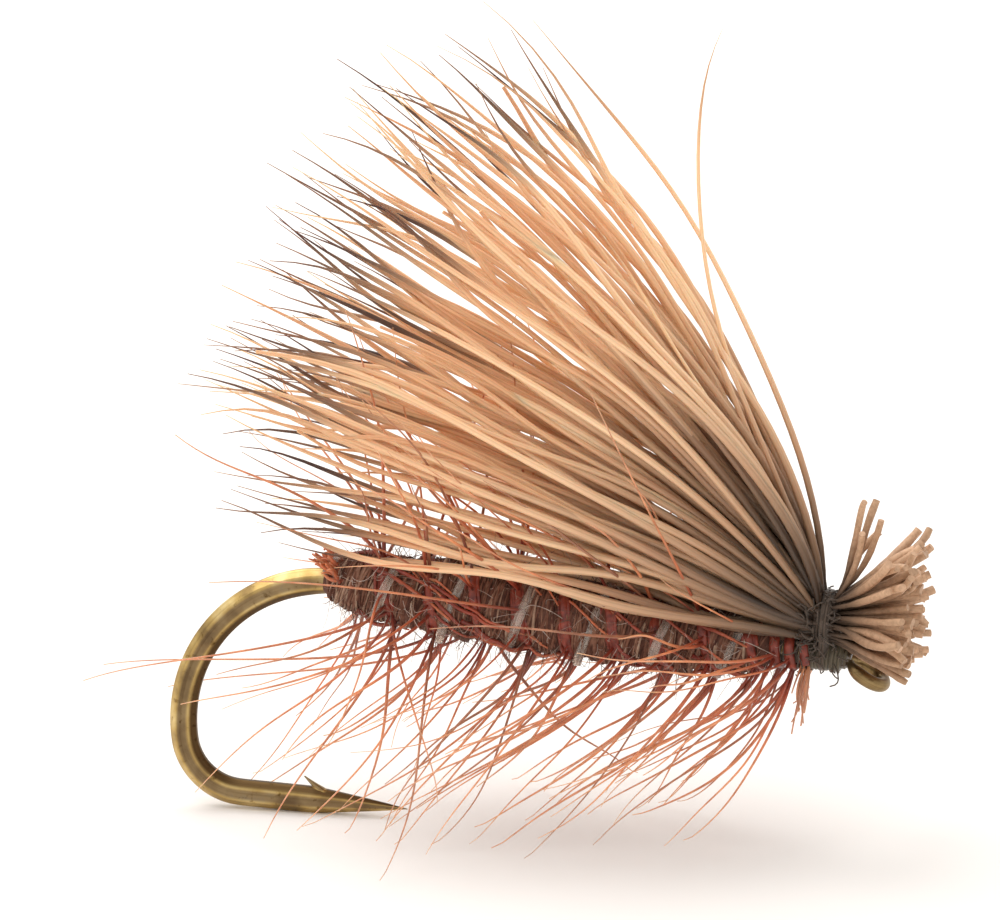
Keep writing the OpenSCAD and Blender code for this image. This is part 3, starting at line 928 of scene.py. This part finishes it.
def grow_barbs(name, node, material, x, rng, full_length, back, open_top, curl=0.4):
    """A turn of barbs, leaving the stem at each x along its winding and then bending out and back."""
    angle, radius = stem_path(x)
    angle = angle + rng.normal(0, 0.12, x.size)
    from_top = np.abs((angle + math.pi) % TURN - math.pi)
    flank = np.abs(np.sin(angle)) > 0.8
    keep = (from_top > open_top) & ~(flank & (rng.random(x.size) < 0.6))
    x, angle, radius = x[keep], angle[keep], radius[keep]
    count = x.size
    length = full_length[keep][:, None]
    share = np.where(np.cos(angle) > 0, np.interp(x, [2.5, 4.5], [0.6, 0.14]), 0.1)
    upright = (rng.random(count) < share) & (x < 7.5)
    lean = back * np.where(upright, rng.uniform(-0.4, 0.2, count), rng.uniform(0.45, 1.5, count))
    lean = np.where(rng.random(count) < 0.1, 2.4 * lean, lean)[:, None]
    out = outward(angle)
    side = stacked(0, np.cos(angle), -np.sin(angle)) * rng.choice([-1, 1], count)[:, None]
    rear = np.array([-1.0, 0, 0])
    foot = on_fly(around(x, radius, angle))
    twist = rng.normal(0, 0.13, (count, 1))
    start_way = turned(unit(0.62 * side + 0.78 * out + 0.25 * lean * rear))
    chord = turned(unit(out + lean * rear + twist * side + rng.normal(0, 0.05, (count, 3))))
    chord = splayed(foot, chord, length)
    bow = unit(chord + curl * rear * rng.uniform(-0.5, 1.3, (count, 1)) + rng.normal(0, 0.14, (count, 3)))
    tip = foot + length * chord
    p1 = foot + length * (0.09 * start_way + (0.12 - 0.1 * curl) * chord + 0.35 * curl * turned(out))
    p2 = tip - length * 0.33 * bow
    t = steps(22)
    add_strands(
        name, material, "hackle_barb", node,
        points=above_floor(wandering(bezier(foot, p1, p2, tip, t.size), 0.11, 1.3, rng)),
        radii=BARB_R * rng.uniform(0.65, 1.2, (count, 1)) * (1 - 0.78 * t ** 1.4),
        normal=[0.2, 0.9, 0.4], along=t,
        tone=np.where(rng.random(count) < 0.22, rng.uniform(0.6, 1, count), rng.uniform(0, 0.25, count)),
    )


def build_body_hackle(material):
    """The turns of hackle on the body: the rear ones stand steeper and close round the top."""
    count = 26
    for turn in range(HACKLE_TURNS):
        rng = np.random.default_rng(40 + turn)
        start = HACKLE_START + HACKLE_PITCH * turn
        x = start + HACKLE_PITCH * (np.arange(count) + rng.uniform(0, 1, count)) / count
        length = rng.uniform(BARB_MIN, BARB_MAX, count) * np.where(rng.random(count) < 0.12, 0.6, 1)
        grow_barbs(
            f"barb_turn_{turn + 1}", f"hackle_barbs_{turn + 1}", material, x, rng, length,
            back=np.interp(turn, [0, 4], [0.5, 0.66]), open_top=0.15 if turn < 4 else 0.5,
        )


def build_collar(material):
    """The close turns behind the head, open on top where the wing lies."""
    count = 21
    for turn in range(COLLAR_TURNS):
        rng = np.random.default_rng(60 + turn)
        start = COLLAR_START - HACKLE_START + COLLAR_PITCH * turn
        x = start + (COLLAR_PITCH + HACKLE_START / COLLAR_TURNS) * rng.uniform(0, 1, count)
        length = rng.uniform(BARB_MIN - 0.4, BARB_MAX - 0.6, count)
        grow_barbs(
            f"collar_turn_{turn + 1}", f"collar_barbs_{turn + 1}", material, x, rng, length,
            back=0.75, open_top=1.05, curl=0.65,
        )


def build_swept_barbs(material, rng):
    """Long barbs laid back along the body and past the bend."""
    x = np.array([2.4, 3.1, 4.6, 6.2, 1.2])
    angle = np.radians([-160, 160, -75, 110, -120])
    back = np.array([0.98, 0.94, 0.96, 0.95, 0.9])[:, None]
    length = np.array([8.2, 8.0, 7.6, 7.8, 7.4])[:, None]
    out = outward(angle)
    way = np.sqrt(1 - back ** 2) * out - back * np.array([1.0, 0, 0])
    foot = around(x, body_r(x), angle)
    p1 = foot + length * (0.12 * out + 0.2 * way)
    p2 = foot + length * 0.7 * way
    tip = foot + length * way - np.array([0, 0, 0.35])
    t = steps(24)
    add_strands(
        "swept_back_barbs", material, "hackle_barb", "swept_barbs",
        points=above_floor(wandering(on_fly(bezier(foot, p1, p2, tip, t.size)), 0.1, 1, rng)),
        radii=BARB_R * (1 - 0.75 * t), normal=[0, 1, 0], along=t, tone=rng.uniform(0, 0.4, x.size),
    )


def build_trapped_barbs(material, rng):
    """Barbs that the rib has pressed flat against the body."""
    count = 46
    t = steps(20)
    x0 = rng.uniform(0.3, 9.6, (count, 1))
    angle0 = rng.uniform(0, TURN, (count, 1))
    run = rng.uniform(1.2, 3.6, (count, 1))
    bend = -rng.uniform(0.4, 0.9, (count, 1)) * run
    x = np.clip(x0 + run * (t - 0.3), BODY_START + 0.2, BODY_SHOULDER)
    angle = angle0 + bend * (t - 0.5) + 0.2 * np.sin(3 * t + angle0)
    lift = 0.06 + 0.1 * np.sin(math.pi * t) ** 2 * rng.random((count, 1))
    add_strands(
        "trapped_barbs", material, "hackle_barb",
        points=on_fly(around(x, dubbing_r(x, angle) + lift, angle)),
        radii=BARB_R * rng.uniform(0.8, 1.5, (count, 1)) * (1.1 - 0.6 * t),
        normal=radial(angle), along=0.25 * t, tone=rng.uniform(0, 0.2, count),
    )


def build_clipped_barbs(material):
    """Barbs cut short under the head."""
    rng = np.random.default_rng(80)
    count = 16
    angle = math.pi + rng.uniform(-1.1, 1.1, count)
    out = stacked(rng.uniform(-0.25, 0.2, count), np.sin(angle), np.cos(angle))
    foot = around(THREAD_START - 0.1 + rng.uniform(-0.15, 0.1, count), SLEEVE_R, angle)
    length = rng.uniform(0.6, 1.8, count)[:, None]
    tip = foot + length * (out + rng.normal(0, 0.14, (count, 3)))
    t = steps(10)
    points = bezier(foot, foot + 0.35 * length * out, foot + 0.7 * length * out, tip, t.size)
    add_strands(
        "clipped_stubs", material, "hackle_barb", "clipped_barbs", sides=7,
        points=on_fly(points), radii=rng.uniform(0.024, 0.04, (count, 1)) * (1 - 0.4 * t),
        normal=[1, 0.2, 0], along=0.4 + 0.6 * t, tone=rng.uniform(0.2, 1, count),
    )


def build_hackle_tip(material):
    """The feather's tip, a little ginger tuft caught at the rear of the body."""
    rng = np.random.default_rng(85)
    count = 70
    spread = rng.normal(0, 0.6, count)
    foot = stacked(
        BODY_START + rng.uniform(0.1, 0.5, count), 0.45 * np.sin(spread),
        (body_r(BODY_START + 0.2) - 0.12) * np.cos(spread) * rng.uniform(0.6, 1, count),
    )
    way = unit(stacked(-rng.uniform(0.4, 1.1, count), 0.5 * np.sin(spread), rng.uniform(0.1, 0.8, count)))
    length = rng.uniform(0.25, 0.62, count)[:, None]
    sway = rng.normal(0, 0.2, (count, 3)) * length
    p2 = foot + 0.7 * length * way + sway
    t = steps(10)
    add_strands(
        "feather_tip", material, "hackle_barb", "hackle_tip",
        points=on_fly(bezier(foot, foot + 0.3 * length * way, p2, foot + length * way, t.size)),
        radii=rng.uniform(0.04, 0.065, (count, 1)) * (1 - 0.6 * t ** 2),
        normal=[0.1, 1, 0.2], along=0.08 + 0.3 * t, tone=rng.uniform(0, 0.2, count),
    )


# ---- Wing ----

def bundle_point(row, column, x):
    """Point in the gripped bundle, for a row and column from -1 to 1."""
    reach = BUNDLE_R - WAIST_R
    return stacked(x, column * reach * np.sqrt(1 - row * row / 2), BUNDLE_Z + row * reach * 0.95)


def wing_angle(height):
    """Angle in degrees above the level of the hairs at a height from 0 to 1; the top few stand apart."""
    return np.interp(height, [0, 0.1, 0.93, 1], [4, 15, 51, 60])


def wing_reach(angle):
    """Length of the wing's outline from the thread, at an angle in degrees above the level."""
    return np.interp(angle, [5, 11, 20, 30, 41, 52, 60], [13.2, 14.7, 16.0, 16.6, 17.2, 16.9, 15.7])


def wing_layout(count, rng):
    """Root, chord, length and swing of each wing hair, with the tips drawn together in pointed clumps,
    and which of the hairs are blunt."""
    height = np.sort(np.clip(rng.beta(1.05, 1.1, count), 0, 1))
    column = rng.uniform(-1, 1, count)
    angle = np.maximum(wing_angle(height) + 3.2 * np.clip(rng.standard_t(3, count), -3, 3), 2)
    trim = 1 - 0.16 * rng.random(count) ** 1.4
    blunt = rng.random(count) < 0.06
    trim = np.where(blunt, trim * rng.uniform(0.72, 0.96, count), trim)
    row = np.clip(2 * height - 1 + rng.normal(0, 0.26, count), -0.95, 0.95)
    root = on_fly(bundle_point(row, column * 0.95, GRIP_START))
    length = wing_reach(angle) * trim

    clump_count = 44
    clump_height = rng.random(clump_count)
    clump_column = rng.uniform(-1, 1, clump_count)
    apart = (height[:, None] - clump_height) ** 2 * 9 + (column[:, None] - clump_column) ** 2
    nearest = np.argmin(apart, axis=1)
    pull = rng.uniform(0.1, 0.75, count)
    tip_angle = np.radians(angle + pull * (wing_angle(clump_height[nearest]) - angle))
    tip_column = column + pull * (clump_column[nearest] - column)
    spread = 0.22 - 0.05 * height
    droop = (0.1 * height - 0.05 * (1 - height)) * tip_column ** 2
    chord = unit(stacked(-np.cos(tip_angle), spread * tip_column, np.sin(tip_angle) - droop))
    return root, chord, length, column * spread, blunt


def wing_curves(root, chord, length, swing, rng, rings):
    """Each hair leaves the thread steeper or flatter than its chord, and ends flatter than it."""
    angle = np.degrees(np.arctan2(chord[:, 2], -chord[:, 0]))
    chords = [5, 12, 30, 50, 61]
    leaving = np.interp(angle, chords, [-2, 6, 42, 69, 81])
    ending = np.interp(angle, chords, [3, 7, 20, 36, 45])
    return hair_curves(root, chord, length, swing, leaving, ending, rng, rings)


def hair_curves(root, chord, length, swing, leaving, ending, rng, rings):
    """Curves with the given angles above the level at the thread and at the tip."""
    leaving = np.radians(leaving + 5.5 * np.clip(rng.standard_t(3, len(root)), -4, 4))
    ending = np.radians(ending + rng.normal(0, 10, len(root)))
    start_way = unit(stacked(-np.cos(leaving), 1.8 * swing, np.sin(leaving)))
    end_way = unit(stacked(-np.cos(ending), 0.7 * chord[:, 1], np.sin(ending)))
    length = length[:, None]
    tip = root + length * chord
    points = bezier(root, root + 0.3 * length * start_way, tip - 0.34 * length * end_way, tip, rings)
    return clear_of_body(wandering(points, 0.28, 1.7, rng))


def clear_of_body(points):
    """Lays strands that would run through the body over its flanks."""
    local = on_shank(points)
    x, y, z = local[..., 0], local[..., 1], local[..., 2]
    reach = np.hypot(y, z)
    over_body = (1 - smooth(9.6, 11.3, x)) * smooth(BODY_START - 1.0, BODY_START + 0.4, x)
    least = (body_r(x) + 0.16) * over_body
    grow = np.maximum(reach, least) / np.maximum(reach, 1e-6)
    return on_fly(stacked(x, y * grow, z * grow))


def hair_thickness(t, blunt):
    """Crushed at the thread, full a little way on, and drawn out to a point unless it is broken."""
    flare = 0.45 + 0.55 * smooth(0, 0.07, t)
    slimmer = 1 - 0.3 * smooth(0.15, 0.7, t)
    point = 1 - 0.92 * smooth(0.72, 1.03, t)
    broken = 1 - 0.45 * smooth(0.8, 1.0, t)
    return flare * slimmer * np.where(blunt, broken, point)


def build_wing(material):
    """The wing's hairs, from the lowest to the highest, in one piece for each row."""
    rng = np.random.default_rng(100)
    count = 166
    t = steps(28)
    root, chord, length, swing, blunt = wing_layout(count, rng)
    points = wing_curves(root, chord, length, swing, rng, t.size)
    thickness = HAIR_R * rng.uniform(0.85, 1.15, (count, 1)) * hair_thickness(t, blunt[:, None])
    tone = np.where(rng.random(count) < 0.3, rng.uniform(0.6, 1, count), rng.uniform(0, 0.5, count))
    dark = np.where(blunt, 0.1, np.where(rng.random(count) < 0.72, rng.uniform(0.75, 1, count), 0.15))
    along = np.clip(t + rng.normal(0, 0.035, (count, 1)), 0, 1)
    row = np.arange(count) * WING_ROWS // count
    for i in range(WING_ROWS):
        mine = row == i
        add_strands(
            f"wing_row_{i + 1}", material, "wing_hair", f"wing_hairs_{i + 1}", sides=9, width=0.92,
            points=points[mine], radii=thickness[mine], normal=HAIR_NORMAL,
            tone=tone[mine], dark=dark[mine], along=along[mine],
        )


def build_loose_hairs(material):
    """Strays in front of the wing's upper edge."""
    rng = np.random.default_rng(110)
    angle = np.radians([55, 57, 58.5, 60, 61.5, 59, 79.5])
    length = np.array([16.0, 15.6, 14.2, 16.0, 15.2, 11.5, 13.9])
    column = np.array([-0.5, 0.3, 0.7, -0.2, 0.5, -0.7, 0.1])
    leaving = np.array([72, 74, 76, 77, 79, 76, 62])
    ending = np.array([40, 42, 43, 46, 47, 50, 104])
    t = steps(26)
    root = on_fly(bundle_point(0.97, column, GRIP_START))
    chord = unit(stacked(-np.cos(angle), 0.12 * column, np.sin(angle)))
    add_strands(
        "wing_strays", material, "wing_hair", "loose_wing_hairs", sides=9,
        points=hair_curves(root, chord, length, 0.15 * column, leaving, ending, rng, t.size),
        radii=HAIR_R * rng.uniform(0.5, 0.75, (angle.size, 1)) * hair_thickness(t, False),
        normal=HAIR_NORMAL, tone=rng.uniform(0, 0.5, angle.size), dark=0.5, along=t,
    )


def disc_points(count, radius):
    """Evenly packed points of a disc, as a sunflower sets its seeds."""
    k = np.arange(count) + 0.5
    r = radius * np.sqrt(k / count)
    a = k * math.pi * (3 - math.sqrt(5))
    return r * np.cos(a), r * np.sin(a)


def build_waist(material):
    """The hairs' waists, crushed side by side under the thread."""
    count = 90
    rings = 9
    y, z = disc_points(count, BUNDLE_R - WAIST_R)
    x = np.linspace(GRIP_START - 0.1, GRIP_END + 0.1, rings)
    bulge = 1 + 0.1 * np.linspace(-1, 1, rings) ** 2
    add_strands(
        "hair_waists", material, "butt_hair", "hair_waist", sides=7,
        points=on_fly(stacked(x, y[:, None] * bulge, BUNDLE_Z + z[:, None] * bulge)),
        # along=0.05 gives the waists the butt colour's dark end, the painted shade by the thread.
        radii=0.06, normal=[0, 1, 0], along=0.05, tone=0.5,
    )


# ---- Head ----

def add_butts(name, node, material, root, way, length, rng, start_way, crook=0.09, slimness=1.0):
    """Thick, slightly crooked hair ends, swelling from the thread to the cut."""
    count = len(root)
    length = length[:, None]
    bent = rng.normal(0, crook, (count, 3)) * length
    p2 = root + 0.68 * length * way + bent
    t = steps(12)
    swell = 0.42 + 0.58 * smooth(0, 0.55, t)
    thickness = slimness * (BUTT_R * rng.uniform(0.8, 1.12, (count, 1)) * swell)
    add_strands(
        name, material, "butt_hair", node, sides=10, crease=40, width=0.9,
        points=bezier(root, root + 0.3 * length * start_way, p2, root + length * way, t.size),
        radii=thickness + 0.006 * rng.normal(0, 1, (count, t.size)), normal=[0.2, 1, 0.3],
        # along starts at the thread, where the butt colour is darkened as painted shade.
        tone=rng.uniform(0, 1, count), along=0.97 * t,
    )


def build_butts(material):
    """The butts fan forward from the thread to one flat cut."""
    count = 15
    for i in range(BUTT_ROWS):
        rng = np.random.default_rng(120 + i)
        row = 2 * i / (BUTT_ROWS - 1) - 1 + rng.uniform(-0.2, 0.2, count)
        column = np.linspace(-1, 1, count) + rng.normal(0, 0.07, count)
        root = on_fly(bundle_point(np.clip(row, -0.95, 0.95), np.clip(column, -1, 1) * 0.95, GRIP_END))
        rise = np.radians(np.where(row > 0, 28, 17) * row + 3)
        swing = np.radians(np.where(row > -0.3, 40, 26) * column)
        way = unit(stacked(np.cos(rise) * np.cos(swing), np.sin(swing), np.sin(rise)))
        length = np.minimum(2.7, BUTT_CUT / np.maximum(way[:, 0], 0.2)) * rng.uniform(0.88, 1.02, count)
        start_way = unit(way + [0.8, 0, 0])
        add_butts(f"butt_row_{i + 1}", f"butt_hairs_{i + 1}", material, root, way, length, rng, start_way)


def build_butt_tuft(material):
    """Butts that the thread has stood up in front of the wing."""
    side = np.array([-0.27, -0.1, 0.08, 0.2, 0.32])
    root = on_fly(stacked(GRIP_END, side, BUNDLE_Z + BUNDLE_R - 0.1))
    way = unit(stacked([0.42, 0.3, 0.55, 0.38, 0.62], side * 0.8, 1.0))
    length = np.array([2.0, 2.6, 2.2, 2.5, 1.8])
    add_butts(
        "standing_butts", "butt_tuft", material, root, way, length, np.random.default_rng(130),
        start_way=unit(way + [0.5, 0, 0.1]), crook=0.2, slimness=0.88,
    )


def band_outline(radius_added, count):
    """The closed line around the shank and the hair bundle on it, as evenly spaced (y, z)."""
    low = SLEEVE_R + radius_added
    high = BUNDLE_R + radius_added
    facing = np.linspace(0, TURN, 721)
    on_top = BUNDLE_Z * np.cos(facing) + high > low
    y = np.where(on_top, high, low) * np.sin(facing)
    z = np.where(on_top, BUNDLE_Z, 0) + np.where(on_top, high, low) * np.cos(facing)
    travelled = np.concatenate([[0], np.cumsum(np.hypot(np.diff(y), np.diff(z)))])
    even = np.linspace(0, travelled[-1], count, endpoint=False)
    return np.interp(even, travelled, y), np.interp(even, travelled, z)


def wax_wisps(rng):
    """Short dark fibres that the waxed thread has dragged out of the hair around the waist."""
    wisps = 260
    places = 240
    y, z = band_outline(0.0, places)
    for _ in range(wisps):
        k = rng.integers(0, places)
        x = rng.uniform(GRIP_START - 0.45, GRIP_END + 0.25)
        foot = np.array([x, 0.94 * y[k], BUNDLE_Z + 0.94 * (z[k] - BUNDLE_Z)])
        outward_way = unit(np.array([0, y[k], z[k] - 0.6 * BUNDLE_Z]))
        way = unit(rng.normal(0, 0.8, 3) + 0.5 * outward_way)
        length = rng.uniform(0.2, 0.55)
        p2 = foot + 0.7 * length * way + rng.normal(0, 0.15, 3)
        ends = [foot, foot + 0.3 * length * outward_way, p2, foot + length * way]
        yield on_fly(bezier(*np.array(ends)[:, None], 8))


def build_wing_thread():
    """Thread wound around the bundle and the shank, forward and back in layers."""
    wraps = Tubes(7)
    turns_in_layer = (4, 4, 3, 3)
    per_turn = 48
    rng = np.random.default_rng(140)
    for layer, turns in enumerate(turns_in_layer):
        y, z = band_outline(THREAD_R * (0.5 + 1.1 * layer) - 0.12, per_turn)
        count = turns * per_turn
        where = np.arange(count) % per_turn
        edge = 0.03 * layer
        x = np.linspace(GRIP_START + edge, GRIP_END - edge, count)
        x = x + 0.035 * np.sin(np.linspace(0, TURN * turns * 0.5, count) + rng.uniform(0, TURN))
        if layer % 2:
            x = x[::-1]
        points = on_fly(stacked(x, y[where], z[where]))
        wraps.add(points[None], THREAD_R, turned([1, 0, 0]), width=0.85)
    for wisp in wax_wisps(rng):
        wraps.add(wisp, 0.018, [0.3, 0.6, 0.7])
    material = thread("wing_thread", (44, 33, 24), (92, 72, 54))
    wraps.piece("wing_wraps", material, "tying_thread", "wing_thread")


def neck_r(x):
    """Radius of the thread-wound neck between the body and the eye."""
    return WIRE_R - 0.01 + 0.13 * (1 - smooth(SHANK_LEN - 0.5, SHANK_LEN + 0.22, x))


def build_whip_finish():
    """The wound neck and the finishing knot behind the eye."""
    knot = Tubes(8)
    neck = (GRIP_START - 0.2, SHANK_LEN + 0.08, 11, 0.0)
    finish = (11.9, 12.15, 3, 0.05)
    for start, end, turns, lift in (neck, finish):
        angle = np.linspace(0, TURN * turns, turns * 24)
        x = np.linspace(start, end, angle.size)
        knot.wind(x, neck_r(x) + lift, angle, THREAD_R)
    material = thread("whip_finish", (56, 48, 34), (104, 90, 64))
    knot.piece("finishing_knot", material, "tying_thread", "whip_finish")


def varnish_r(x, angle):
    """Radius of the varnish over the knot, in slightly uneven swells."""
    t = np.clip((x - GRIP_END) / (VARNISH_END - GRIP_END), 0, 1)
    swell = 0.075 * np.sin(math.pi * t) ** 0.6 + 0.01 * np.sin(3 * angle + 9 * x)
    return neck_r(x) - 0.04 + swell


def build_head_varnish():
    """The varnish over the finishing knot."""
    xs = np.linspace(GRIP_END, VARNISH_END, 34)
    coat = lathe("varnish_coat", xs, varnish_r, 48)
    add_piece("varnish_coat", coat, varnish(), "head_varnish", "head_cement")


# ---- Stage ----

def build_floor():
    """A wide sheet of white paper."""
    mesh = bpy.data.meshes.new("floor")
    corners = [(x * FLOOR_REACH, y * FLOOR_REACH, 0) for x, y in ((-1, -1), (1, -1), (1, 1), (-1, 1))]
    mesh.from_pydata(corners, [], [(0, 1, 2, 3)])
    floor = place_in_scene("floor", mesh)
    material, _, shader = new_material("floor_paper", 0.8, specular=0.1)
    shader.inputs["Base Color"].default_value = FLOOR_COLOUR
    mesh.materials.append(material)


def build_sky():
    """An even, slightly warm white all round."""
    world = bpy.data.worlds.new("studio")
    world.use_nodes = True
    background = world.node_tree.nodes["Background"]
    background.inputs["Color"].default_value = SKY_COLOUR
    background.inputs["Strength"].default_value = 1.0
    bpy.context.scene.world = world


def build_lamp():
    """A soft lamp overhead, a little behind the fly and over its tail."""
    light = bpy.data.lights.new("overhead", "AREA")
    light.size = LAMP_SIZE
    light.energy = LAMP_POWER
    lamp = place_in_scene("overhead", light)
    lamp.location = LAMP_PLACE
    lamp.rotation_euler = (LAMP_AIM - LAMP_PLACE).to_track_quat("-Z", "Y").to_euler()


def build_camera():
    """A long lens from the photo's side, a little above the fly."""
    level = math.cos(CAMERA_ELEVATION)
    back = Vector((
        math.sin(CAMERA_AZIMUTH) * level, -math.cos(CAMERA_AZIMUTH) * level, math.sin(CAMERA_ELEVATION),
    ))
    low, high = cad_box
    camera = bpy.data.cameras.new("camera")
    camera.sensor_width = CAMERA_SENSOR
    camera.lens = CAMERA_LENS
    camera.clip_start = 0.01
    camera.clip_end = 20
    viewer = place_in_scene("camera", camera)
    viewer.location = (low + high) / 2 + CAMERA_SHIFT + CAMERA_DISTANCE * back
    viewer.rotation_euler = (-back).to_track_quat("-Z", "Y").to_euler()
    bpy.context.scene.camera = viewer
    bpy.context.scene.view_settings.view_transform = "Standard"


build_hook()
build_thread_base()
build_body_core()
build_body_strands()
build_fuzz()
build_stem()
build_rib()
barb_material = hackle()
build_body_hackle(barb_material)
build_collar(barb_material)
laid_barbs = np.random.default_rng(70)
build_swept_barbs(barb_material, laid_barbs)
build_trapped_barbs(barb_material, laid_barbs)
build_clipped_barbs(barb_material)
build_hackle_tip(barb_material)
hair_material = wing_hair()
build_wing(hair_material)
build_loose_hairs(hair_material)
butt_material = butt_hair()
build_waist(butt_material)
build_butts(butt_material)
build_butt_tuft(butt_material)
build_wing_thread()
build_whip_finish()
build_head_varnish()
build_floor()
build_sky()
build_lamp()
build_camera()
